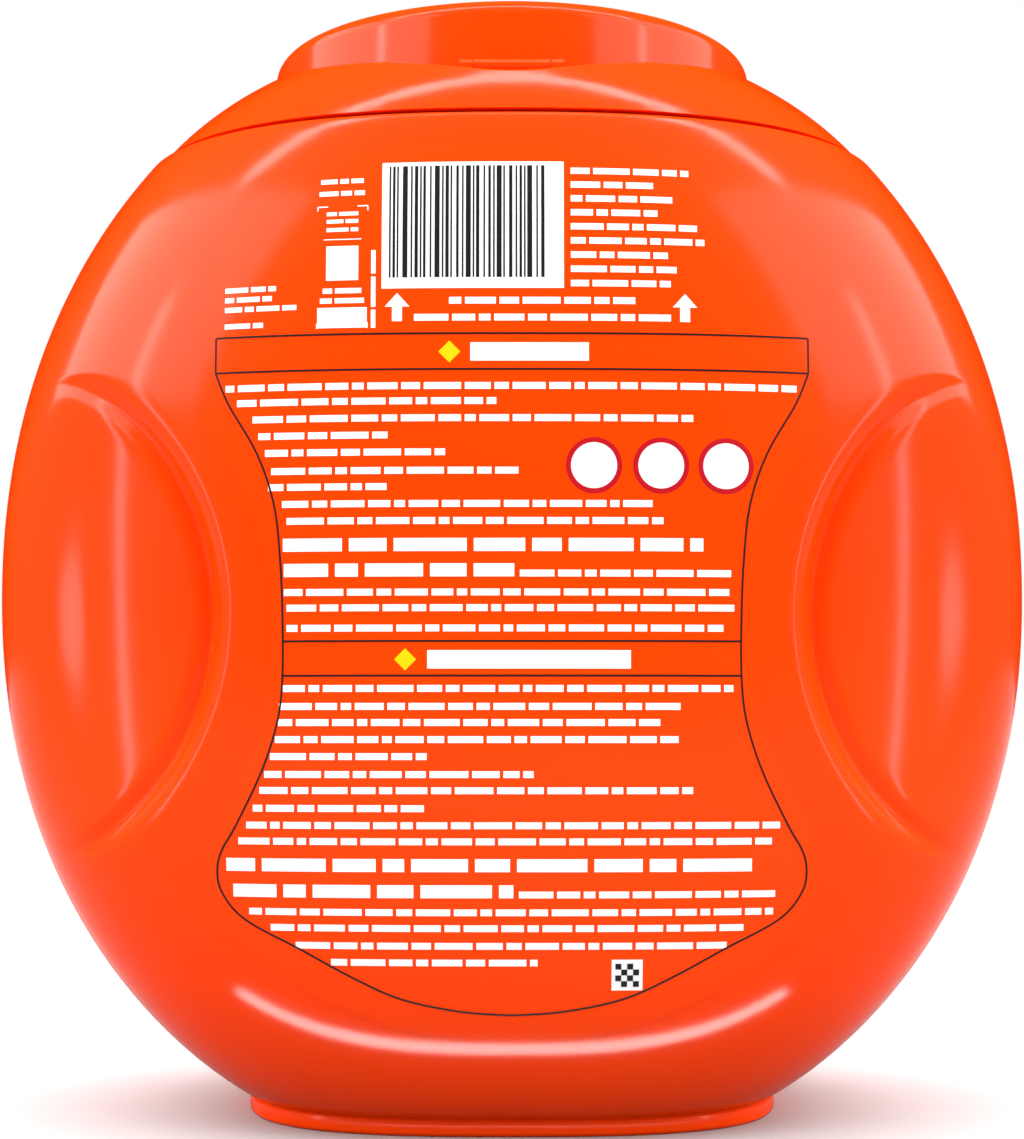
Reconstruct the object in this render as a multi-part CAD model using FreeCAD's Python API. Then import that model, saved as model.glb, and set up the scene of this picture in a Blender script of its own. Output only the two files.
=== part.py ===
import FreeCAD, Part
import math
import os
from FreeCAD import Vector

os.makedirs("parts", exist_ok=True)

# Sizes are in millimetres; Z is up, the back label faces -Y, and the foot stands on Z = 0.

# Rounded form shared by the tub and its collar
belly_half_width = 125.4
belly_half_depth = 80.0
belly_height = 124.5
front_pole_above_shelf = 40.6
front_pole_below_floor = 13.1
front_roundness = 2.1
side_pole_above_shelf = 33.8
side_pole_below_floor = 4.5
side_roundness = 4.0
belly_squareness = 2.8
seam_squareness = 2.35
crown_squareness = 1.6
section_points = 24
body_sections = 10
collar_sections = 6
same_place = 0.05

# Tub shell
wall = 1.6
shelf_height = 229.7
shelf_thickness = 1.6
body_start = 3.0
foot_half_width = 65.3
foot_half_depth = 54.5
foot_height = 4.4
foot_edge_radius = 1.2
foot_ring_width = 5.0
base_recess = 2.4
neck_radius = 56.5
neck_wall = 1.6
neck_length = 6.8

# Grip hollows: four scoops, each bounded by a round crease
grip_centre_x = 130.0
grip_height = 118.0
grip_crease_radius = 62.0
grip_half_height = 52.0
grip_depth = 8.0
grip_fade = 0.7
grip_side_margin = 7.0
grip_outer_cover = 7.0
grip_sections = 9
grip_floor = ((0.0, 0.0), (0.08, 0.6), (0.22, 1.0), (0.42, 0.9), (0.62, 0.52), (0.82, 0.16), (1.0, -0.04))

# Back label film, outlined by half widths and heights from its top edge down to its toe
film_thickness = 0.25
film_seat_gap = 0.1
film_top = 221.8
film_bottom = 23.7
film_shoulder_half_width = 34.0
film_shoulder_height = 221.1
film_corner_half_width = 58.5
film_corner_height = 208.5
film_side_half_width = 68.4
film_side_top = 186.0
film_side_bottom = 160.0
film_waist_half_width = 52.3
film_waist_height = 110.0
film_hip_half_width = 64.5
film_hip_height = 75.0
film_lobe_half_width = 67.2
film_lobe_height = 62.0
film_toe_half_width = 58.1
film_toe_height = 44.6

# Collar
seam_gap = 1.2
collar_step = 0.9
collar_wall = 2.0
crown_above_shelf = 26.3
valley_radius = 64.5
rim_radius = 1.2
deck_thickness = 2.0
mouth_radius = 50.0
upstand_wall = 1.8
upstand_height = 11.5
collar_ring_clearance = 0.3
collar_ring_wall = 1.5
collar_ring_length = 4.6

# Flip lid
drum_height = 19.5
lid_foot_radius = 60.0
lid_top_radius = 59.3
lid_rim_radius = 4.0
lid_wall = 2.0
lid_floor_clearance = 1.5
lid_panel_radius = 50.0
lid_panel_recess = 0.6
guide_ring_clearance = 0.6
guide_ring_wall = 1.4
guide_ring_overlap = 3.0

# Hinge
knuckle_radius = 1.6
knuckle_half_width = 8.6
ear_width = 2.8
ear_clearance = 0.4
pin_radius = 0.8
pin_clearance = 0.05
hinge_skirt_gap = 0.2
hinge_above_deck = 4.3
tongue_thickness = 2.4

# Latch tabs in the front of the lid
tab_angle = 35.0
tab_width = 16.0
tab_height = 12.0
tab_thickness = 1.8
tab_slot = 0.4
tab_ridge_reach = 1.2
tab_ridge_height = 1.6
tab_ridge_rise = 1.0
tab_ridge_root = 0.5
catch_clearance = 0.4
catch_height = 1.6
catch_root = 0.2

# Heights and places that follow from the sizes above
front_rise = shelf_height + front_pole_above_shelf - belly_height
front_drop = belly_height + front_pole_below_floor
side_rise = shelf_height + side_pole_above_shelf - belly_height
side_drop = belly_height + side_pole_below_floor
crown_height = shelf_height + crown_above_shelf
collar_base = shelf_height + seam_gap
neck_top = shelf_height + neck_length
deck_top = neck_top + deck_thickness
upstand_top = deck_top + upstand_height
upstand_radius = mouth_radius + upstand_wall
lid_base = deck_top + lid_floor_clearance
lid_top = lid_base + drum_height
lid_ceiling = lid_top - lid_panel_recess - lid_wall
hinge_y = -(lid_foot_radius + hinge_skirt_gap + knuckle_radius)
hinge_z = deck_top + hinge_above_deck
ear_start = knuckle_half_width + ear_clearance


def power_arc(offset, reach, roundness):
    """Share of the belly size that is left at an offset from the belly."""
    return (1 - (abs(offset) / reach) ** roundness) ** (1 / roundness)


def half_width(z, inset=0.0):
    rise = z - belly_height
    reach = front_rise if rise > 0 else front_drop
    return (belly_half_width - inset) * power_arc(rise, reach - inset, front_roundness)


def half_depth(z, inset=0.0):
    rise = z - belly_height
    reach = side_rise if rise > 0 else side_drop
    return (belly_half_depth - inset) * power_arc(rise, reach - inset, side_roundness)


def squareness(z):
    """Exponent of a level section: squarish at the belly, rounder at the seam and the crown."""
    if z > shelf_height:
        share = (z - shelf_height) / crown_above_shelf
        return seam_squareness + (crown_squareness - seam_squareness) * share * share
    share = max((z - belly_height) / (shelf_height - belly_height), 0.0)
    return belly_squareness + (seam_squareness - belly_squareness) * share * share


def oval_wire(a, b, exponent, z):
    points = []
    for step in range(section_points):
        angle = 2 * math.pi * step / section_points
        c = math.cos(angle)
        s = math.sin(angle)
        scale = (abs(c) ** exponent + abs(s) ** exponent) ** (-1 / exponent)
        points.append(Vector(a * c * scale, b * s * scale, z))
    curve = Part.BSplineCurve()
    curve.interpolate(points, PeriodicFlag=True)
    return Part.Wire(curve.toShape())


def rounded_form(low, high, sections, inset=0.0):
    wires = []
    for step in range(sections):
        z = low + (high - low) * step / (sections - 1)
        wires.append(oval_wire(half_width(z, inset), half_depth(z, inset), squareness(z), z))
    return Part.makeLoft(wires, True, False)


def tube(outer, inner, low, high):
    solid = Part.makeCylinder(outer, high - low, Vector(0, 0, low))
    return solid.cut(Part.makeCylinder(inner, high - low, Vector(0, 0, low)))


def skin_point(x, z, depth):
    """Point under the back surface of the tub, at a depth along the surface normal."""
    a = half_width(z)
    b = half_depth(z)
    e = squareness(z)
    y = b * (1 - (x / a) ** e) ** (1 / e)
    normal = Vector((x / a) ** (e - 1) / a, -((y / b) ** (e - 1)) / b, 0)
    normal.normalize()
    return Vector(x, -y, z) - normal * depth


def grip_section(z, grow):
    """Closed outline of a grip cutter at one height: hollow floor inside, a cover outside."""
    across = (z - grip_height) / grip_half_height
    drop = grip_height - z
    crease = grip_centre_x - math.sqrt(grip_crease_radius ** 2 - drop ** 2)
    outer = half_width(z) - grip_side_margin
    depth = (grip_depth + grip_fade) * (1 - across * across) - grip_fade
    floor = []
    for share, part in grip_floor:
        x = crease + (outer - crease) * share
        floor.append(skin_point(x, z, depth * part + grow))
    inner_lip = skin_point(crease, z, 0) + Vector(-grow, -grip_outer_cover, 0)
    middle_lip = skin_point(0.5 * (crease + outer), z, -grip_outer_cover)
    outer_lip = skin_point(outer, z, -grip_outer_cover)
    bottom = Part.BSplineCurve()
    bottom.interpolate(floor)
    edges = [
        Part.makeLine(inner_lip, floor[0]),
        bottom.toShape(),
        Part.makeLine(floor[-1], outer_lip),
        Part.makeLine(outer_lip, middle_lip),
        Part.makeLine(middle_lip, inner_lip),
    ]
    return Part.Wire(edges)


def grip_cutters(grow=0.0):
    wires = []
    for step in range(grip_sections):
        share = -1 + 2 * step / (grip_sections - 1)
        wires.append(grip_section(grip_height + share * grip_half_height, grow))
    right_back = Part.makeLoft(wires, True, False)
    left_back = right_back.mirror(Vector(0, 0, 0), Vector(1, 0, 0))
    right_front = right_back.mirror(Vector(0, 0, 0), Vector(0, 1, 0))
    left_front = left_back.mirror(Vector(0, 0, 0), Vector(0, 1, 0))
    return [right_back, left_back, right_front, left_front]


def make_foot():
    wire = oval_wire(foot_half_width, foot_half_depth, belly_squareness, 0)
    foot = Part.Face(wire).extrude(Vector(0, 0, foot_height))
    low_edges = [edge for edge in foot.Edges if edge.BoundBox.ZMax < same_place]
    foot = foot.makeFillet(foot_edge_radius, low_edges)
    inner_width = foot_half_width - foot_ring_width
    inner_depth = foot_half_depth - foot_ring_width
    recess_wire = oval_wire(inner_width, inner_depth, belly_squareness, 0)
    recess = Part.Face(recess_wire).extrude(Vector(0, 0, base_recess))
    return foot, recess


def make_tub():
    outer = rounded_form(body_start, shelf_height, body_sections).cut(grip_cutters())
    foot, recess = make_foot()
    outer = outer.fuse(foot).cut(recess)
    neck = Part.makeCylinder(neck_radius, neck_length, Vector(0, 0, shelf_height))
    outer = outer.fuse(neck)
    cavity_floor = base_recess + wall
    cavity = rounded_form(cavity_floor, shelf_height - shelf_thickness, body_sections, wall)
    cavity = cavity.cut(grip_cutters(wall))
    bore_low = Vector(0, 0, shelf_height - 2 * shelf_thickness)
    bore = Part.makeCylinder(neck_radius - neck_wall, neck_length + 2 * shelf_thickness, bore_low)
    return outer.cut(cavity).cut(bore)


def split_at_shelf(tub):
    """The tub under its shelf, and the shelf with the neck: two nodes of the one moulding."""
    reach = 2 * belly_half_width
    corner = Vector(-reach, -reach, 0)
    below = Part.makeBox(2 * reach, 2 * reach, shelf_height - shelf_thickness, corner)
    return tub.common(below), tub.cut(below)


def film_outline():
    """Closed hourglass outline of the back label, drawn in the plane Y = 0."""
    top = Vector(0, 0, film_top)
    shoulder = Vector(film_shoulder_half_width, 0, film_shoulder_height)
    corner = Vector(film_corner_half_width, 0, film_corner_height)
    side_high = Vector(film_side_half_width, 0, film_side_top)
    side_low = Vector(film_side_half_width, 0, film_side_bottom)
    waist = Vector(film_waist_half_width, 0, film_waist_height)
    hip = Vector(film_hip_half_width, 0, film_hip_height)
    lobe = Vector(film_lobe_half_width, 0, film_lobe_height)
    toe = Vector(film_toe_half_width, 0, film_toe_height)
    bottom = Vector(0, 0, film_bottom)
    right = [
        Part.Arc(shoulder, corner, side_high).toShape(),
        Part.LineSegment(side_high, side_low).toShape(),
        Part.Arc(side_low, waist, hip).toShape(),
        Part.Arc(hip, lobe, toe).toShape(),
    ]
    left = [edge.mirror(Vector(0, 0, 0), Vector(1, 0, 0)) for edge in right]
    top_edge = Part.Arc(Vector(-shoulder.x, 0, shoulder.z), top, shoulder).toShape()
    bottom_edge = Part.Arc(toe, bottom, Vector(-toe.x, 0, toe.z)).toShape()
    return Part.Wire(Part.__sortEdges__(right + left + [top_edge, bottom_edge]))


def make_back_label():
    film_outer = -film_seat_gap - film_thickness
    outside = rounded_form(body_start, shelf_height, body_sections, film_outer)
    inside = rounded_form(body_start, shelf_height, body_sections, -film_seat_gap)
    prism = Part.Face(film_outline()).extrude(Vector(0, -2 * belly_half_depth, 0))
    return outside.common(prism).cut(inside)


def make_ear(side):
    """Hinge ear on the collar: a round-topped post with a bore for the pin."""
    start = ear_start if side > 0 else -ear_start - ear_width
    centre = Vector(start, hinge_y, hinge_z)
    along = Vector(1, 0, 0)
    foot = Vector(start, hinge_y - knuckle_radius, deck_top)
    post = Part.makeBox(ear_width, 2 * knuckle_radius, hinge_z - deck_top, foot)
    head = Part.makeCylinder(knuckle_radius, ear_width, centre, along)
    bore = Part.makeCylinder(pin_radius + pin_clearance, ear_width, centre, along)
    return post.fuse(head).cut(bore)


def make_catch(side):
    """Ledge in the valley wall that holds the ridge of a latch tab down."""
    inner = lid_foot_radius + tab_ridge_reach + catch_clearance
    low = lid_base + tab_ridge_rise + tab_ridge_height + catch_clearance
    outer = valley_radius + catch_root
    return sector(inner, outer, low, low + catch_height, tab_width, side * tab_angle)


def sector(inner, outer, low, high, width, angle):
    """Piece of a ring, as wide as a tab, turned to its angle from the front."""
    ring = tube(outer, inner, low, high)
    block = Part.makeBox(width, 2 * outer, high - low, Vector(-width / 2, 0, low))
    piece = ring.common(block)
    piece.rotate(Vector(0, 0, 0), Vector(0, 0, 1), angle)
    return piece


def make_crown():
    """Rounded top of the form, with the valley for the lid cut in and its rim rounded."""
    crown = rounded_form(collar_base, crown_height, collar_sections, collar_step)
    crown = crown.cut(Part.makeCylinder(valley_radius, crown_height, Vector(0, 0, deck_top)))
    rim_edges = []
    for edge in crown.Edges:
        place = edge.valueAt(0.5 * (edge.FirstParameter + edge.LastParameter))
        on_wall = abs(math.hypot(place.x, place.y) - valley_radius) < same_place
        if on_wall and edge.BoundBox.ZMax > deck_top + rim_radius and edge.Length > valley_radius:
            rim_edges.append(edge)
    return crown.makeFillet(rim_radius, rim_edges)


def make_collar():
    """Shoulder shell with the valley wall, open inside the wall for the mouth ring."""
    hollow = rounded_form(collar_base, crown_height, collar_sections, collar_step + collar_wall)
    valley_wall = Part.makeCylinder(valley_radius + collar_wall, crown_height, Vector(0, 0, neck_top))
    collar = make_crown().cut(hollow.cut(valley_wall))
    collar = collar.cut(Part.makeCylinder(valley_radius, crown_height))
    for side in (1, -1):
        collar = collar.fuse(make_catch(side))
    return collar.removeSplitter()


def make_mouth_ring():
    """Inside of the collar's moulding: the deck, the upstand, the neck ring and the hinge ears."""
    ring = tube(valley_radius, mouth_radius, neck_top, deck_top)
    ring = ring.fuse(tube(upstand_radius, mouth_radius, deck_top, upstand_top))
    neck_ring_inner = neck_radius + collar_ring_clearance
    neck_ring_outer = neck_ring_inner + collar_ring_wall
    ring = ring.fuse(tube(neck_ring_outer, neck_ring_inner, neck_top - collar_ring_length, neck_top))
    for side in (1, -1):
        ring = ring.fuse(make_ear(side))
    return ring.removeSplitter()


def make_drum():
    """Hollow round lid, turned about the Z axis, with a recessed panel and a rounded rim."""
    panel_height = lid_top - lid_panel_recess
    outline = [
        Vector(0, 0, panel_height),
        Vector(lid_panel_radius, 0, panel_height),
        Vector(lid_panel_radius, 0, lid_top),
        Vector(lid_top_radius, 0, lid_top),
        Vector(lid_foot_radius, 0, lid_base),
        Vector(lid_foot_radius - lid_wall, 0, lid_base),
        Vector(lid_top_radius - lid_wall, 0, lid_ceiling),
        Vector(0, 0, lid_ceiling),
        Vector(0, 0, panel_height),
    ]
    drum = Part.Face(Part.makePolygon(outline)).revolve(Vector(0, 0, 0), Vector(0, 0, 1), 360)
    rim_edges = []
    for edge in drum.Edges:
        at_top = edge.BoundBox.ZMin > lid_top - same_place
        if at_top and abs(edge.BoundBox.XMax - lid_top_radius) < same_place:
            rim_edges.append(edge)
    return drum.makeFillet(lid_rim_radius, rim_edges)


def tab_window(side):
    inner = lid_foot_radius - 2 * lid_wall
    outer = lid_foot_radius + lid_wall
    width = tab_width + 2 * tab_slot
    top = lid_base + tab_height + tab_slot
    return sector(inner, outer, lid_base - tab_slot, top, width, side * tab_angle)


def make_hinge_leaf():
    """Knuckle with its pins, and the tongue that joins it to the lid's skirt."""
    half = knuckle_half_width
    pin_half = ear_start + ear_width
    along = Vector(1, 0, 0)
    knuckle = Part.makeCylinder(knuckle_radius, 2 * half, Vector(-half, hinge_y, hinge_z), along)
    pin = Part.makeCylinder(pin_radius, 2 * pin_half, Vector(-pin_half, hinge_y, hinge_z), along)
    tongue_corner = Vector(-half, hinge_y, hinge_z - tongue_thickness / 2)
    tongue = Part.makeBox(2 * half, -hinge_y - mouth_radius, tongue_thickness, tongue_corner)
    tongue = tongue.cut(Part.makeCylinder(lid_foot_radius - lid_wall, lid_top))
    return tongue.fuse(knuckle).fuse(pin)


def make_lid():
    guide_inner = upstand_radius + guide_ring_clearance
    guide_low = upstand_top - guide_ring_overlap
    lid = make_drum().fuse(tube(guide_inner + guide_ring_wall, guide_inner, guide_low, lid_ceiling))
    for side in (1, -1):
        lid = lid.cut(tab_window(side))
    return lid.fuse(make_hinge_leaf()).removeSplitter()


def make_latch_tab(side):
    turn = side * tab_angle
    inner = lid_foot_radius - tab_thickness
    plate = sector(inner, lid_foot_radius, lid_base, lid_base + tab_height, tab_width, turn)
    ridge_low = lid_base + tab_ridge_rise
    ridge_high = ridge_low + tab_ridge_height
    ridge_inner = lid_foot_radius - tab_ridge_root
    ridge_outer = lid_foot_radius + tab_ridge_reach
    ridge = sector(ridge_inner, ridge_outer, ridge_low, ridge_high, tab_width, turn)
    return plate.fuse(ridge).removeSplitter()


def write_part(name, shape):
    shape.exportStep("parts/" + name + ".step")


tub_body, tub_neck = split_at_shelf(make_tub())
write_part("tub_body", tub_body)
write_part("tub_neck", tub_neck)
write_part("back_label", make_back_label())
write_part("collar", make_collar())
write_part("mouth_ring", make_mouth_ring())
write_part("flip_lid", make_lid())
write_part("left_latch_tab", make_latch_tab(1))
write_part("right_latch_tab", make_latch_tab(-1))
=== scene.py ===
import bpy
import math
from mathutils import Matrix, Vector


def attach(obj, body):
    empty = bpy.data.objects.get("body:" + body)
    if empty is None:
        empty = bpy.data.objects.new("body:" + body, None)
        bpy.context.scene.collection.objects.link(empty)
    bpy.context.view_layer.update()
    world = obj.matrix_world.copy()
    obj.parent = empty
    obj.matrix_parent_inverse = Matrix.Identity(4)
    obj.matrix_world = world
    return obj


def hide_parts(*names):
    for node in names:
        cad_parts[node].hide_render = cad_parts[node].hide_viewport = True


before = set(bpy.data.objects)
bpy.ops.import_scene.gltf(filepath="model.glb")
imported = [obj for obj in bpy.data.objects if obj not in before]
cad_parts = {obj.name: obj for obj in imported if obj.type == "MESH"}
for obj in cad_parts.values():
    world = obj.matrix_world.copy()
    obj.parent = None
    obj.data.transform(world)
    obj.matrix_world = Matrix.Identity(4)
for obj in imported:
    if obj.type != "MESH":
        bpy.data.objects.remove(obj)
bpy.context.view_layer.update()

# Tub body: the hollow, blow-moulded orange tub. Its sections are squarish at the belly and
# rounder at the seam. Four grip hollows are scooped into its front and back near the sides.
# It stands on a foot ring, and a shelf and a round neck at the top carry the collar.
BELLY_HALF_WIDTH = 0.1254
BELLY_HALF_DEPTH = 0.0800
BELLY_HEIGHT = 0.1245
FRONT_RISE = 0.1458
FRONT_DROP = 0.1376
FRONT_ROUNDNESS = 2.1
SIDE_RISE = 0.1390
SIDE_DROP = 0.1290
SIDE_ROUNDNESS = 4.0
BELLY_SQUARENESS = 2.8
SEAM_SQUARENESS = 2.35
SHELF_HEIGHT = 0.2297
SHELF_EDGE_RADIUS = 0.0009
BODY_START = 0.0044
TUB_WALL = 0.0016
FOOT_HALF_WIDTH = 0.0653
FOOT_HALF_DEPTH = 0.0545
FOOT_EDGE = 0.0012
FOOT_RING = 0.0050
BASE_RECESS = 0.0024
NECK_RADIUS = 0.0565
NECK_TOP = 0.2365
GRIP_CENTRE_X = 0.130
GRIP_HEIGHT = 0.119
GRIP_RADIUS = 0.062
GRIP_HALF_HEIGHT = 0.055
GRIP_DEPTH = 0.0062
GRIP_ROLL = 0.0075
GRIP_SIDE_MARGIN = 0.003
GRIP_SIDE_BLEND = 0.024
GROOVE_DEPTH = 0.0015
GROOVE_REACH = 0.0024
COARSE_ANGLE = 2.0
FINE_ANGLE = 0.45
FINE_ANGLES_FROM = 38.0
FINE_ANGLES_TO = 64.0
RING_STEP = 0.0024
GRIP_RING_STEP = 0.0009
GRIP_RINGS = (0.058, 0.178)
INNER_RING_STEP = 0.007
INNER_GRIP_RING_STEP = 0.0025
INNER_GRIP_RINGS = (0.060, 0.180)
EDGE_EASE = 0.0003


def power_arc(offset, reach, roundness):
    return (1 - (abs(offset) / reach) ** roundness) ** (1 / roundness)


def half_width(z, inset=0.0):
    reach = FRONT_RISE if z > BELLY_HEIGHT else FRONT_DROP
    return (BELLY_HALF_WIDTH - inset) * power_arc(z - BELLY_HEIGHT, reach - inset, FRONT_ROUNDNESS)


def half_depth(z, inset=0.0):
    reach = SIDE_RISE if z > BELLY_HEIGHT else SIDE_DROP
    return (BELLY_HALF_DEPTH - inset) * power_arc(z - BELLY_HEIGHT, reach - inset, SIDE_ROUNDNESS)


def squareness(z):
    share = min(max((z - BELLY_HEIGHT) / (SHELF_HEIGHT - BELLY_HEIGHT), 0.0), 1.0)
    return BELLY_SQUARENESS + (SEAM_SQUARENESS - BELLY_SQUARENESS) * share * share


def smooth_share(value):
    share = min(max(value, 0.0), 1.0)
    return share * share * (3 - 2 * share)


def grip_depth(x, z, groove_depth):
    """How far the skin is scooped inwards: a roll, a groove at its foot, and an open floor."""
    across = (z - GRIP_HEIGHT) / GRIP_HALF_HEIGHT
    if abs(across) > 1 or abs(x) < 0.05:
        return 0.0
    inside = GRIP_RADIUS - math.hypot(abs(x) - GRIP_CENTRE_X, z - GRIP_HEIGHT)
    to_side = half_width(z) - GRIP_SIDE_MARGIN - abs(x)
    if inside < -GRIP_ROLL or to_side < 0:
        return 0.0
    roll = 1 - math.cos(0.5 * math.pi * min(1 + inside / GRIP_ROLL, 1.0))
    open_side = smooth_share(to_side / GRIP_SIDE_BLEND)
    floor = GRIP_DEPTH * (1 - across * across) ** 1.3 * roll * open_side
    groove = groove_depth * math.exp(-((inside / GROOVE_REACH) ** 2)) * (1 - across ** 12)
    return floor + groove * min(to_side / 0.010, 1.0)


def oval_ring(a, b, exponent, z, angles):
    ring = []
    for angle in angles:
        c = math.cos(angle)
        s = math.sin(angle)
        scale = (abs(c) ** exponent + abs(s) ** exponent) ** (-1 / exponent)
        ring.append(Vector((a * c * scale, b * s * scale, z)))
    return ring


def skin_ring(z, angles, inset=0.0):
    """One level ring of the skin, with the grips scooped in; the groove is in the outer skin only."""
    groove_depth = GROOVE_DEPTH if inset == 0 else 0.0
    a = half_width(z, inset)
    b = half_depth(z, inset)
    e = squareness(z)
    ring = oval_ring(a, b, e, z, angles)
    for place in ring:
        depth = grip_depth(place.x, z, groove_depth)
        if depth > 0:
            u = (abs(place.x) / a) ** (e - 1) / a
            v = (abs(place.y) / b) ** (e - 1) / b
            normal = Vector((math.copysign(u, place.x), math.copysign(v, place.y), 0)).normalized()
            place -= normal * depth
    return ring


def joined_rings(name, rings, closed=False):
    """A mesh of quads between rings of as many points; open ends are closed by a centre point."""
    count = len(rings[0])
    places = [place for ring in rings for place in ring]
    faces = []
    last = len(rings) if closed else len(rings) - 1
    for row in range(last):
        low = row * count
        high = ((row + 1) % len(rings)) * count
        for step in range(count):
            after = (step + 1) % count
            faces.append((low + step, low + after, high + after, high + step))
    if not closed:
        for row, flip in ((0, True), (len(rings) - 1, False)):
            centre = sum(rings[row], Vector()) / count
            places.append(centre)
            for step in range(count):
                after = (step + 1) % count
                edge = (row * count + step, row * count + after)
                faces.append((edge[1], edge[0], len(places) - 1) if flip else (*edge, len(places) - 1))
    mesh = bpy.data.meshes.new(name)
    mesh.from_pydata(places, [], faces)
    mesh.validate()
    mesh.shade_smooth()
    piece = bpy.data.objects.new(name, mesh)
    bpy.context.scene.collection.objects.link(piece)
    return piece


def quadrant_angles(coarse, fine, fine_from, fine_to):
    """Angles round the tub in degrees: fine steps over the grips, coarse ones elsewhere."""
    quadrant = []
    angle = 0.0
    while angle < 90 - 1e-6:
        quadrant.append(angle)
        angle += fine if fine_from <= angle < fine_to else coarse
    angles = []
    for turn in range(4):
        part = quadrant if turn % 2 == 0 else [0.0] + [90 - a for a in reversed(quadrant[1:])]
        angles += [math.radians(90 * turn + a) for a in part]
    return angles


tub_angles = quadrant_angles(COARSE_ANGLE, FINE_ANGLE, FINE_ANGLES_FROM, FINE_ANGLES_TO)
tub_rings = []


def foot_ring(inset, z):
    """One level ring of the foot, drawn in from its outline."""
    return oval_ring(FOOT_HALF_WIDTH - inset, FOOT_HALF_DEPTH - inset, BELLY_SQUARENESS, z, tub_angles)


# From the middle of the base out to the foot ring, and up its rounded edge.
for inset, z in (
    (FOOT_RING + 0.030, BASE_RECESS),
    (FOOT_RING + 0.001, BASE_RECESS),
    (FOOT_RING, BASE_RECESS - 0.0005),
    (FOOT_RING, 0.0004),
    (FOOT_RING - 0.0004, 0.0),
):
    tub_rings.append(foot_ring(inset, z))
for step in range(7):
    turn = math.radians(90 * step / 6)
    inset = FOOT_EDGE * (1 - math.sin(turn))
    z = FOOT_EDGE * (1 - math.cos(turn))
    tub_rings.append(foot_ring(inset, z))
for inset, z in ((0.0, BODY_START - 0.0009), (0.0002, BODY_START - 0.0003), (0.0008, BODY_START)):
    tub_rings.append(foot_ring(inset, z))

# Up the outer skin, over the shelf's rounded edge, up the neck and down inside it.
z = BODY_START + 0.0003
while z < SHELF_HEIGHT - SHELF_EDGE_RADIUS - 0.0006:
    tub_rings.append(skin_ring(z, tub_angles))
    z += GRIP_RING_STEP if GRIP_RINGS[0] < z < GRIP_RINGS[1] else RING_STEP
for step in range(6):
    turn = math.radians(90 * step / 5)
    inset = SHELF_EDGE_RADIUS * (1 - math.cos(turn))
    z = SHELF_HEIGHT - SHELF_EDGE_RADIUS * (1 - math.sin(turn))
    a = half_width(z) - inset
    b = half_depth(z) - inset
    tub_rings.append(oval_ring(a, b, squareness(z), z, tub_angles))
tub_rings.append(oval_ring(a - 0.004, b - 0.004, SEAM_SQUARENESS, SHELF_HEIGHT, tub_angles))
for radius, z in (
    (NECK_RADIUS + EDGE_EASE, SHELF_HEIGHT),
    (NECK_RADIUS, SHELF_HEIGHT + EDGE_EASE),
    (NECK_RADIUS, NECK_TOP - 0.0002),
    (NECK_RADIUS - EDGE_EASE, NECK_TOP),
    (NECK_RADIUS - TUB_WALL + EDGE_EASE, NECK_TOP),
    (NECK_RADIUS - TUB_WALL, NECK_TOP - EDGE_EASE),
    (NECK_RADIUS - TUB_WALL, SHELF_HEIGHT - TUB_WALL + EDGE_EASE),
):
    tub_rings.append(oval_ring(radius, radius, 2.0, z, tub_angles))

# Under the shelf and down the inner skin to the floor of the tub.
inner_top = SHELF_HEIGHT - TUB_WALL
inner_a = half_width(inner_top, TUB_WALL)
inner_b = half_depth(inner_top, TUB_WALL)
tub_rings.append(oval_ring(inner_a - 0.003, inner_b - 0.003, SEAM_SQUARENESS, inner_top, tub_angles))
inner_floor = BASE_RECESS + TUB_WALL
z = inner_top - 0.001
while z > inner_floor:
    tub_rings.append(skin_ring(z, tub_angles, TUB_WALL))
    z -= INNER_GRIP_RING_STEP if INNER_GRIP_RINGS[0] < z < INNER_GRIP_RINGS[1] else INNER_RING_STEP
last = half_width(inner_floor, TUB_WALL)
tub_rings.append(oval_ring(last * 0.5, last * 0.4, 2.2, inner_floor, tub_angles))
tub = joined_rings("tub_shell", tub_rings)
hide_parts("tub_body")
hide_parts("tub_neck")
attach(tub, "tub")


def moulded_skin():
    """Node group: the slight unevenness of a moulded skin, as a height and a roughness."""
    group = bpy.data.node_groups.new("moulded_skin", "ShaderNodeTree")
    for name in ("Ripple scale", "Speckle scale", "Roughness low", "Roughness high"):
        group.interface.new_socket(name, in_out="INPUT", socket_type="NodeSocketFloat")
    group.interface.new_socket("Height", in_out="OUTPUT", socket_type="NodeSocketFloat")
    group.interface.new_socket("Roughness", in_out="OUTPUT", socket_type="NodeSocketFloat")
    nodes = group.nodes
    links = group.links
    entry = nodes.new("NodeGroupInput")
    leave = nodes.new("NodeGroupOutput")
    place = nodes.new("ShaderNodeTexCoord")
    ripple = nodes.new("ShaderNodeTexNoise")
    ripple.inputs["Detail"].default_value = 1.0
    speckle = nodes.new("ShaderNodeTexNoise")
    speckle.inputs["Detail"].default_value = 3.0
    spread = nodes.new("ShaderNodeMapRange")
    links.new(place.outputs["Object"], ripple.inputs["Vector"])
    links.new(place.outputs["Object"], speckle.inputs["Vector"])
    links.new(entry.outputs["Ripple scale"], ripple.inputs["Scale"])
    links.new(entry.outputs["Speckle scale"], speckle.inputs["Scale"])
    links.new(speckle.outputs["Fac"], spread.inputs["Value"])
    links.new(entry.outputs["Roughness low"], spread.inputs["To Min"])
    links.new(entry.outputs["Roughness high"], spread.inputs["To Max"])
    links.new(ripple.outputs["Fac"], leave.inputs["Height"])
    links.new(spread.outputs["Result"], leave.inputs["Roughness"])
    return group


moulded_skin_group = moulded_skin()
RIPPLE_SCALE = 18.0
SPECKLE_SCALE = 420.0
SPECULAR_LEVEL = 0.15


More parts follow.
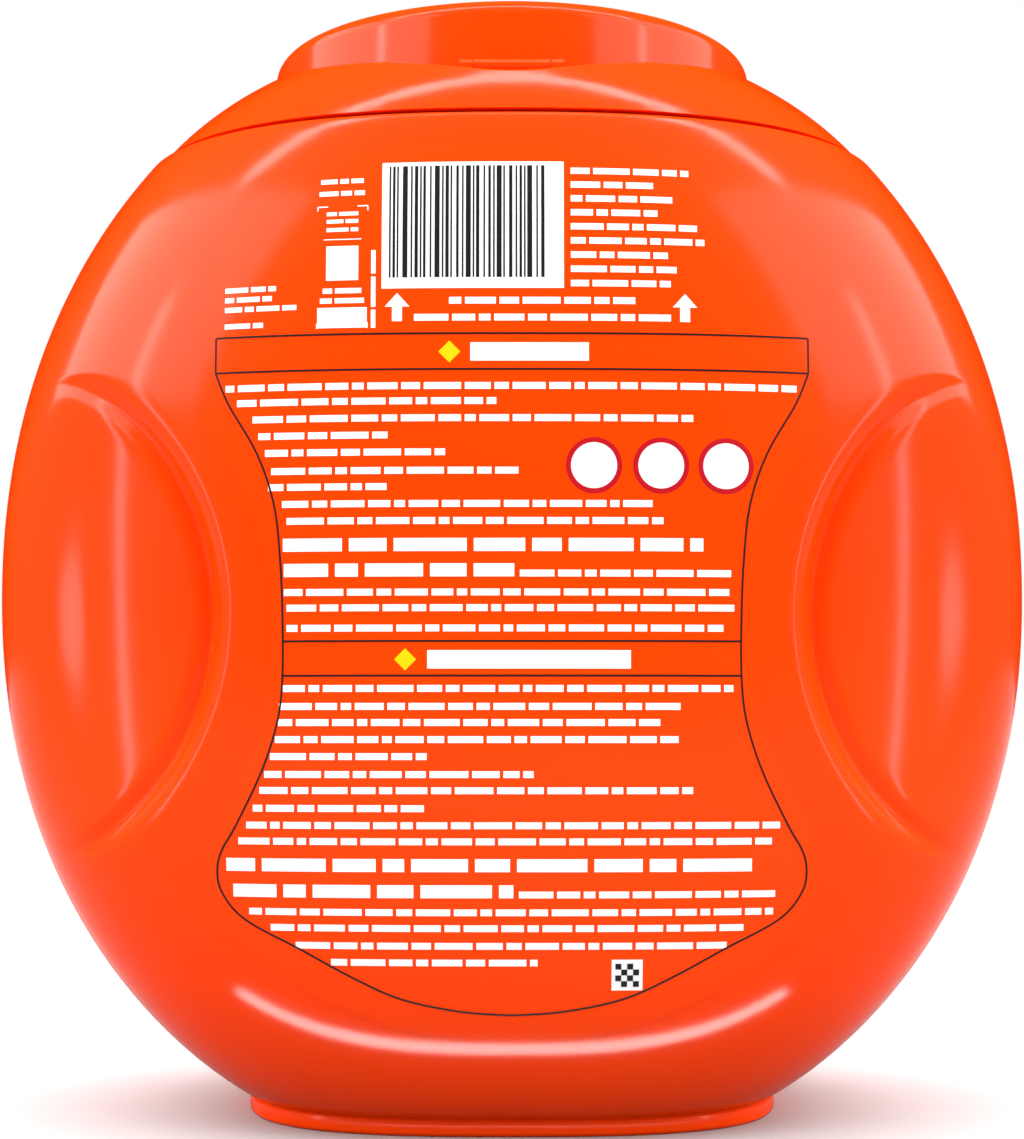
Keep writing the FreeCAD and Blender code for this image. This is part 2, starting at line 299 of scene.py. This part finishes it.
def moulded_plastic(name, deep, bright, rough_low, rough_high, ripple_depth):
    """Glossy moulded plastic whose tone drifts a little between two orange shades."""
    material = bpy.data.materials.new(name)
    material.use_nodes = True
    nodes = material.node_tree.nodes
    links = material.node_tree.links
    shader = nodes["Principled BSDF"]
    skin = nodes.new("ShaderNodeGroup")
    skin.node_tree = moulded_skin_group
    skin.inputs["Ripple scale"].default_value = RIPPLE_SCALE
    skin.inputs["Speckle scale"].default_value = SPECKLE_SCALE
    skin.inputs["Roughness low"].default_value = rough_low
    skin.inputs["Roughness high"].default_value = rough_high
    place = nodes.new("ShaderNodeTexCoord")
    drift = nodes.new("ShaderNodeTexNoise")
    drift.inputs["Scale"].default_value = 9.0
    tones = nodes.new("ShaderNodeValToRGB")
    tones.color_ramp.elements[0].color = (*deep, 1)
    tones.color_ramp.elements[1].color = (*bright, 1)
    tones.color_ramp.elements[0].position = 0.3
    tones.color_ramp.elements[1].position = 0.7
    bump = nodes.new("ShaderNodeBump")
    bump.inputs["Strength"].default_value = 1.0
    bump.inputs["Distance"].default_value = ripple_depth
    links.new(place.outputs["Object"], drift.inputs["Vector"])
    links.new(drift.outputs["Fac"], tones.inputs["Fac"])
    links.new(tones.outputs["Color"], shader.inputs["Base Color"])
    links.new(skin.outputs["Height"], bump.inputs["Height"])
    links.new(skin.outputs["Roughness"], shader.inputs["Roughness"])
    links.new(bump.outputs["Normal"], shader.inputs["Normal"])
    shader.inputs["IOR"].default_value = 1.5
    shader.inputs["Specular IOR Level"].default_value = SPECULAR_LEVEL
    return material


tub_plastic = moulded_plastic(
    "tub_plastic", (1.0, 0.048, 0.0), (1.0, 0.053, 0.0), 0.13, 0.17, 0.00004
)
tub.data.materials.append(tub_plastic)

# Collar, flip lid and latch tabs: injection-moulded in a slightly lighter orange. The collar
# snaps on the neck; the lid turns on pins in the valley behind the collar's shoulder, and the
# two tabs are part of its skirt.
closure_plastic = moulded_plastic(
    "closure_plastic", (1.0, 0.049, 0.0), (1.0, 0.054, 0.0), 0.11, 0.15, 0.00002
)
for node in ("collar", "mouth_ring", "flip_lid", "left_latch_tab", "right_latch_tab"):
    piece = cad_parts[node]
    piece.data.materials.clear()
    piece.data.materials.append(closure_plastic)

# Back label: a thin orange film glued to the tub's back, hourglass-shaped so that it clears the
# grips. It lies on the skin and its edge is cut clean.
FILM_LIFT = 0.00014
FILM_OUTLINE = (
    ("arc", (0.0340, 0.2211), (0.0585, 0.2085), (0.0684, 0.1860)),
    ("line", (0.0684, 0.1860), (0.0684, 0.1600)),
    ("arc", (0.0684, 0.1600), (0.0523, 0.1100), (0.0645, 0.0750)),
    ("arc", (0.0645, 0.0750), (0.0672, 0.0620), (0.0581, 0.0446)),
)


def back_point(x, z, lift):
    """Place on the tub's back at a width and a height, lifted off the skin."""
    a = half_width(z, -lift)
    b = half_depth(z, -lift)
    e = squareness(z)
    return Vector((x, -b * (1 - (abs(x) / a) ** e) ** (1 / e), z))


def arc_through(first, middle, last, steps):
    """Points of the circle arc through three places in a plane."""
    ax, az = first
    bx, bz = middle
    cx, cz = last
    twice = 2 * (ax * (bz - cz) + bx * (cz - az) + cx * (az - bz))
    a2 = ax * ax + az * az
    b2 = bx * bx + bz * bz
    c2 = cx * cx + cz * cz
    ox = (a2 * (bz - cz) + b2 * (cz - az) + c2 * (az - bz)) / twice
    oz = (a2 * (cx - bx) + b2 * (ax - cx) + c2 * (bx - ax)) / twice
    radius = math.hypot(ax - ox, az - oz)
    start = math.atan2(az - oz, ax - ox)
    centre_turn = math.remainder(math.atan2(bz - oz, bx - ox) - start, 2 * math.pi)
    turn = math.remainder(math.atan2(cz - oz, cx - ox) - start, 2 * math.pi)
    if turn * centre_turn < 0:
        turn += math.copysign(2 * math.pi, centre_turn)
    angles = [start + turn * step / steps for step in range(steps + 1)]
    return [(ox + radius * math.cos(angle), oz + radius * math.sin(angle)) for angle in angles]


def film_side():
    """The right edge of the film, from its top to its toe."""
    edge = []
    for piece in FILM_OUTLINE:
        if piece[0] == "line":
            steps = 14
            (x0, z0), (x1, z1) = piece[1:]
            part = [(x0 + (x1 - x0) * k / steps, z0 + (z1 - z0) * k / steps) for k in range(steps + 1)]
        else:
            part = arc_through(*piece[1:], 28)
        edge += part if not edge else part[1:]
    return edge


def film_mesh():
    """Rows across the film from its top arc down to its toe, with a hem down to the skin."""
    columns = 48
    side = film_side()
    toe = side[-1]
    bottom = arc_through(toe, (0.0, 0.0237), (-toe[0], toe[1]), 60)
    side += bottom[1:30]
    rows = [[(x * (2 * k / columns - 1), z) for k in range(columns + 1)] for x, z in side]
    rows[0] = [(x, z + 0.0007 * (1 - (x / 0.0340) ** 2)) for x, z in rows[0]]
    flat = [place for row in rows for place in row]
    places = [back_point(x, z, FILM_LIFT) for x, z in flat]
    width = columns + 1
    faces = []
    for r in range(len(rows) - 1):
        for k in range(columns):
            low = r * width + k
            faces.append((low, low + width, low + width + 1, low + 1))
    rim = list(range(width))
    rim += [r * width + columns for r in range(1, len(rows))]
    rim += [(len(rows) - 1) * width + k for k in range(columns - 1, -1, -1)]
    rim += [r * width for r in range(len(rows) - 2, 0, -1)]
    start = len(places)
    places += [back_point(*flat[index], FILM_LIFT) for index in rim]
    under = len(places)
    places += [back_point(*flat[index], 0.0) for index in rim]
    for k in range(len(rim)):
        after = (k + 1) % len(rim)
        faces.append((start + k, start + after, under + after, under + k))
    return places, faces


places, faces = film_mesh()
mesh = bpy.data.meshes.new("label_film")
mesh.from_pydata(places, [], faces)
mesh.validate()
mesh.shade_smooth()
film = bpy.data.objects.new("label_film", mesh)
bpy.context.scene.collection.objects.link(film)
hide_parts("back_label")
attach(film, "tub")
label_film = moulded_plastic(
    "label_film", (1.0, 0.051, 0.0), (1.0, 0.056, 0.0), 0.13, 0.17, 0.00001
)
mesh.materials.append(label_film)

# Print on the label: white, black, red and yellow inks, printed flat on the film before it goes
# on the tub. It has a bar field, rows of plain bars, framed panels, arrows, discs and lozenges.
# Places and sizes in this section are in millimetres.
INK_LIFT = 0.00020
LINE_LIFT = 0.00025
SMALL_TYPE = 2.2
LARGE_TYPE = 4.2
TINY_TYPE = 1.7
BAR_SPREAD = 6.5
RULE_WIDTH = 0.42
HEADER_HALF_HEIGHT = 2.0
LOZENGE_REACH = 2.4
SIGN_RADIUS = 5.0
SIGN_RIM_RADIUS = 6.1
CHECK_SIZE = 1.3


class Print:
    """Fields of one ink, gathered in one mesh that lies on the film."""

    def __init__(self, name, colour, lift):
        self.name = name
        self.colour = colour
        self.lift = lift
        self.places = []
        self.faces = []

    def field(self, x0, x1, z0, z1):
        """A level rectangle in millimetres, cut in cells small enough to follow the skin."""
        columns = max(1, math.ceil(abs(x1 - x0) / 3))
        rows = max(1, math.ceil(abs(z1 - z0) / 3))
        start = len(self.places)
        for r in range(rows + 1):
            for k in range(columns + 1):
                x = x0 + (x1 - x0) * k / columns
                z = z0 + (z1 - z0) * r / rows
                self.places.append(back_point(x / 1000, z / 1000, self.lift))
        for r in range(rows):
            for k in range(columns):
                low = start + r * (columns + 1) + k
                self.faces.append((low, low + 1, low + columns + 2, low + columns + 1))

    def shape(self, corners, hole=None):
        """A small filled outline in millimetres, or the band between it and a like outline."""
        start = len(self.places)
        count = len(corners)
        for x, z in corners:
            self.places.append(back_point(x / 1000, z / 1000, self.lift))
        if hole is None:
            self.faces.append(tuple(range(start, start + count)))
            return
        for x, z in hole:
            self.places.append(back_point(x / 1000, z / 1000, self.lift))
        for k in range(count):
            after = (k + 1) % count
            self.faces.append((start + k, start + after, start + count + after, start + count + k))

    def line(self, route, width):
        """A thin line along a route in millimetres."""
        start = len(self.places)
        for k, (x, z) in enumerate(route):
            before = route[max(k - 1, 0)]
            after = route[min(k + 1, len(route) - 1)]
            dx = after[0] - before[0]
            dz = after[1] - before[1]
            size = math.hypot(dx, dz)
            nx = -dz / size * width / 2
            nz = dx / size * width / 2
            self.places.append(back_point((x + nx) / 1000, (z + nz) / 1000, self.lift))
            self.places.append(back_point((x - nx) / 1000, (z - nz) / 1000, self.lift))
        for k in range(len(route) - 1):
            low = start + 2 * k
            self.faces.append((low, low + 1, low + 3, low + 2))

    def finish(self):
        mesh = bpy.data.meshes.new(self.name)
        mesh.from_pydata(self.places, [], self.faces)
        mesh.validate()
        mesh.shade_smooth()
        piece = bpy.data.objects.new(self.name, mesh)
        bpy.context.scene.collection.objects.link(piece)
        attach(piece, "tub")
        material = bpy.data.materials.new(self.name)
        material.use_nodes = True
        nodes = material.node_tree.nodes
        links = material.node_tree.links
        shader = nodes["Principled BSDF"]
        shader.inputs["Base Color"].default_value = (*self.colour, 1)
        shader.inputs["Specular IOR Level"].default_value = SPECULAR_LEVEL
        skin = nodes.new("ShaderNodeGroup")
        skin.node_tree = moulded_skin_group
        skin.inputs["Speckle scale"].default_value = SPECKLE_SCALE
        skin.inputs["Roughness low"].default_value = 0.3
        skin.inputs["Roughness high"].default_value = 0.4
        links.new(skin.outputs["Roughness"], shader.inputs["Roughness"])
        mesh.materials.append(material)


def circle(x, z, radius, steps=40):
    turns = [2 * math.pi * k / steps for k in range(steps)]
    return [(x + radius * math.cos(turn), z + radius * math.sin(turn)) for turn in turns]


def bar_row(ink, left, right, middle, height, seed):
    """A row of bars of uneven lengths, with small gaps between them."""
    x = left
    step = 0
    space = 0.36 * height
    while x < right - 0.6 * height:
        share = (seed * 0.37 + step * 0.618) % 1.0
        length = height * 0.9 + BAR_SPREAD * height / 2.2 * share
        end = min(x + length, right)
        if right - end < height:
            end = right
        ink.field(x, end, middle - 0.34 * height, middle + 0.34 * height)
        x = end + space
        step += 1


white = Print("label_print_white", (0.93, 0.93, 0.93), INK_LIFT)
black = Print("label_print_black", (0.012, 0.012, 0.012), LINE_LIFT)
red = Print("label_print_red", (0.50, 0.004, 0.012), INK_LIFT)
yellow = Print("label_print_yellow", (0.85, 0.62, 0.0), INK_LIFT)

# Bar field at the head of the label: a white panel with plain bars of a few widths.
white.field(-28.4, 11.3, 189.2, 217.6)
x = -26.8
step = 0
while x < 6.6:
    width = (0.36, 0.72, 0.36, 1.08, 0.36, 0.54)[step * 5 % 6]
    black.field(x, x + width, 191.6, 216.7)
    x += width + (0.42, 0.9, 0.5, 0.36, 0.7)[step * 3 % 5]
    step += 1

# Rows of bars to the right of the bar field, ranged left, and two rows with arrows under it.
for step, right in enumerate((38.8, 30.9, 35.1, 31.8, 40.5, 42.1, 34.0, 35.9, 34.6)):
    bar_row(white, 12.8, right, 215.5 - 3.15 * step, 2.1, step + 1)
bar_row(white, -13.7, 26.8, 186.5, SMALL_TYPE, 3)
bar_row(white, -21.3, 34.6, 182.8, SMALL_TYPE, 5)
for x in (-25.0, 37.7):
    white.shape([(x - 2.7, 185.2), (x + 2.7, 185.2), (x, 188.2)])
    white.field(x - 1.1, x + 1.1, 182.0, 185.2)

# Left of the bar field: short rows of bars, and a framed box with a plain white square.
for step, (right, z) in enumerate(((-51.7, 189.9), (-52.6, 187.7), (-47.1, 185.5), (-54.5, 181.8))):
    bar_row(white, -63.2, right, z, TINY_TYPE, step + 2)
bar_row(white, -42.0, -32.5, 213.7, 1.6, 4)
bar_row(white, -42.3, -32.2, 210.9, 1.6, 7)
white.line([(-42.6, 180.6), (-42.6, 207.9)], 0.25)
white.line([(-31.5, 180.6), (-31.5, 207.9)], 0.25)
white.line([(-42.6, 207.9), (-31.5, 207.9)], 0.25)
white.line([(-41.2, 200.4), (-32.9, 200.4)], 0.2)
for z in (206.2, 204.5, 202.6):
    bar_row(white, -40.6, -33.6, z, 1.3, z)
white.field(-40.6, -33.5, 191.2, 198.9)
bar_row(white, -41.3, -32.8, 188.9, TINY_TYPE, 3)
bar_row(white, -41.9, -32.2, 186.7, TINY_TYPE, 6)
white.field(-42.5, -31.6, 180.7, 185.2)
for z0, z1 in ((180.6, 184.6), (185.2, 191.9), (192.6, 197.8)):
    white.field(-30.7, -29.7, z0, z1)

# The two framed panels: each has a header band with a lozenge and one heavy bar, then rows of
# bars. A thin black line runs round both, waisted like the film.
SMALL_LINES = (
    (-62.8, 62.4, 167.9), (-60.2, -3.4, 164.6), (-56.7, 39.4, 160.9), (-55.4, -27.0, 157.2),
    (-53.9, -14.5, 153.5), (-52.5, 1.4, 149.5), (-53.2, -27.2, 146.0), (-50.1, 30.5, 142.3),
    (-49.1, 32.9, 138.6), (-49.7, 47.3, 123.1), (-49.1, 48.4, 119.7), (-49.1, 46.0, 115.3),
    (-49.9, 48.2, 102.2), (-50.8, 36.6, 98.3), (-51.0, 32.2, 94.8), (-51.7, 36.2, 91.1),
    (-52.8, -18.5, 87.4), (-54.1, 4.7, 83.5), (-55.2, 39.4, 80.0), (-56.7, -19.1, 76.1),
    (-58.2, 58.7, 72.4), (-60.0, 56.9, 68.9), (-57.8, 57.4, 53.4), (-53.0, 50.8, 49.9),
    (-47.5, 47.1, 46.0), (-39.7, 5.6, 42.3),
)
for step, (left, right, z) in enumerate(SMALL_LINES):
    bar_row(white, left, right, z, SMALL_TYPE, step)
for left, right, z, seed in ((-49.9, 41.6, 133.4, 2), (-62.8, 52.5, 63.7, 6)):
    bar_row(white, left, right, z, LARGE_TYPE, seed)
for left, middle, right, z in ((-49.7, 0.5, 47.7, 127.9), (-61.3, 0.3, 57.8, 58.0)):
    bar_row(white, left, middle, z, LARGE_TYPE, 4)
    bar_row(white, middle + 1.2, right, z - 0.7, SMALL_TYPE, 5)
for centre, left, right, z in ((-13.6, -9.05, 16.7, 175.3), (-23.2, -18.4, 25.8, 108.5)):
    white.field(left, right, z - HEADER_HALF_HEIGHT, z + HEADER_HALF_HEIGHT)
    yellow.shape([
        (centre - LOZENGE_REACH, z), (centre, z - LOZENGE_REACH),
        (centre + LOZENGE_REACH, z), (centre, z + LOZENGE_REACH),
    ])
for x in (17.8, 32.4, 46.6):
    white.shape(circle(x, 150.6, SIGN_RADIUS))
    red.shape(circle(x, 150.6, SIGN_RIM_RADIUS), circle(x, 150.6, SIGN_RADIUS))
white.field(21.8, 28.6, 36.1, 43.0)
for row in range(4):
    for column in range(4):
        if (row + column) % 2:
            x = 22.6 + CHECK_SIZE * column
            z = 36.9 + CHECK_SIZE * row
            black.field(x, x + CHECK_SIZE, z, z + CHECK_SIZE)

FRAME_LINE = (
    (65.1, 179.3), (65.1, 171.5), (62.2, 164.6), (55.7, 153.5), (51.9, 142.3), (50.5, 130.0),
    (50.0, 118.0), (50.0, 105.0), (51.1, 95.3), (54.6, 84.4), (60.5, 72.4), (63.8, 66.8),
    (64.9, 62.4), (63.9, 57.4), (58.8, 51.5), (46.4, 45.0), (35.3, 39.0), (24.4, 34.1),
    (11.2, 31.3), (0.0, 30.5),
)


def smooth_route(points, steps):
    """A curve through the points (Catmull-Rom)."""
    route = []
    for k in range(len(points) - 1):
        near = (points[max(k - 1, 0)], points[k], points[k + 1], points[min(k + 2, len(points) - 1)])
        for step in range(steps):
            t = step / steps
            route.append(tuple(
                b + 0.5 * t * (c - a + t * (2 * a - 5 * b + 4 * c - d + t * (3 * b - a - 3 * c + d)))
                for a, b, c, d in zip(*near)
            ))
    return route + [points[-1]]


for side in (1, -1):
    black.line([(side * x, z) for x, z in FRAME_LINE[:2]], RULE_WIDTH)
    black.line([(side * x, z) for x, z in smooth_route(FRAME_LINE[1:], 5)], RULE_WIDTH)
for half, z in ((65.1, 179.3), (65.1, 171.5), (50.0, 112.5), (50.0, 105.0)):
    black.line([(half * (k / 20 - 1), z) for k in range(41)], RULE_WIDTH)
for ink in (white, black, red, yellow):
    ink.finish()

# Studio: a plain pale floor and a pale surround, dimmer behind the camera, give the light. Soft
# boxes at the sides, above and low in front only show as soft reflections in the plastic. The
# camera looks level at the back of the tub, with its frame shifted up.
CAMERA_DISTANCE = 0.544
CAMERA_HEIGHT = 0.0909
FRAME_HEIGHT = 1139
FOCAL_PIXELS = 2140
HORIZON_DROP = 171

camera_data = bpy.data.cameras.new("camera")
camera_data.sensor_width = 36.0
camera_data.lens = 36.0 * FOCAL_PIXELS / FRAME_HEIGHT
camera_data.shift_y = HORIZON_DROP / FRAME_HEIGHT
camera_data.clip_start = 0.01
camera = bpy.data.objects.new("camera", camera_data)
camera.location = (0, -CAMERA_DISTANCE, CAMERA_HEIGHT)
camera.rotation_euler = (math.radians(90), 0, 0)
bpy.context.scene.collection.objects.link(camera)
bpy.context.scene.camera = camera
bpy.context.scene.view_settings.view_transform = "Standard"

# The floor is pale to the camera and darker to other rays, so that it lights the tub less.
floor_mesh = bpy.data.meshes.new("floor")
reach = 8.0
floor_mesh.from_pydata(
    [(-reach, -reach, 0), (reach, -reach, 0), (reach, reach, 0), (-reach, reach, 0)], [], [(0, 1, 2, 3)]
)
floor = bpy.data.objects.new("floor", floor_mesh)
bpy.context.scene.collection.objects.link(floor)
floor_paint = bpy.data.materials.new("floor_paint")
floor_paint.use_nodes = True
nodes = floor_paint.node_tree.nodes
links = floor_paint.node_tree.links
shader = nodes["Principled BSDF"]
shader.inputs["Roughness"].default_value = 0.9
shader.inputs["Specular IOR Level"].default_value = 0.0
path = nodes.new("ShaderNodeLightPath")
tone = nodes.new("ShaderNodeMix")
tone.data_type = "RGBA"
tone.inputs["A"].default_value = (0.23, 0.23, 0.23, 1)
tone.inputs["B"].default_value = (0.5, 0.5, 0.5, 1)
links.new(path.outputs["Is Camera Ray"], tone.inputs["Factor"])
links.new(tone.outputs["Result"], shader.inputs["Base Color"])
floor_mesh.materials.append(floor_paint)

# The surround is white to the camera, and its light grows from behind the camera to the sides.
world = bpy.data.worlds.new("surround")
world.use_nodes = True
nodes = world.node_tree.nodes
links = world.node_tree.links
background = nodes["Background"]
path = nodes.new("ShaderNodeLightPath")
show = nodes.new("ShaderNodeMix")
show.data_type = "FLOAT"
show.inputs["B"].default_value = 1.0
place = nodes.new("ShaderNodeTexCoord")
parts = nodes.new("ShaderNodeSeparateXYZ")
shade = nodes.new("ShaderNodeMapRange")
shade.interpolation_type = "SMOOTHSTEP"
shade.inputs["From Min"].default_value = -1.0
shade.inputs["From Max"].default_value = -0.4
shade.inputs["To Min"].default_value = 0.5
shade.inputs["To Max"].default_value = 3.5
links.new(place.outputs["Generated"], parts.inputs["Vector"])
links.new(parts.outputs["Y"], shade.inputs["Value"])
links.new(shade.outputs["Result"], show.inputs["A"])
links.new(path.outputs["Is Camera Ray"], show.inputs["Factor"])
links.new(show.outputs["Result"], background.inputs["Strength"])
background.inputs["Color"].default_value = (1, 1, 1, 1)
bpy.context.scene.world = world
world.cycles_visibility.glossy = False


def soft_box(name, place, aim, width, height, power):
    """A soft box in watts and metres that shows in reflections only."""
    data = bpy.data.lights.new(name, "AREA")
    data.shape = "RECTANGLE"
    data.size = width
    data.size_y = height
    data.energy = power
    light = bpy.data.objects.new(name, data)
    light.location = place
    direction = Vector(aim) - Vector(place)
    light.rotation_mode = "QUATERNION"
    light.rotation_quaternion = direction.to_track_quat("-Z", "Y")
    light.visible_diffuse = False
    light.visible_camera = False
    bpy.context.scene.collection.objects.link(light)


soft_box("left_soft_box", (-0.9, -0.46, 0.25), (0, 0, 0.13), 0.06, 0.9, 2.2)
soft_box("right_soft_box", (0.9, -0.46, 0.25), (0, 0, 0.13), 0.06, 0.9, 1.9)
soft_box("left_panel", (-1.0, -0.28, 0.8), (0, 0, 0.2), 1.52, 0.6, 14.0)
soft_box("right_panel", (1.0, -0.28, 0.8), (0, 0, 0.2), 1.52, 0.6, 12.0)
soft_box("top_panel", (0, -0.30, 0.95), (0, 0, 0.2), 1.4, 0.07, 7.0)
soft_box("low_strip", (0, -0.0855, 0.001), (0, -0.0855, 1), 0.19, 0.006, 0.13)
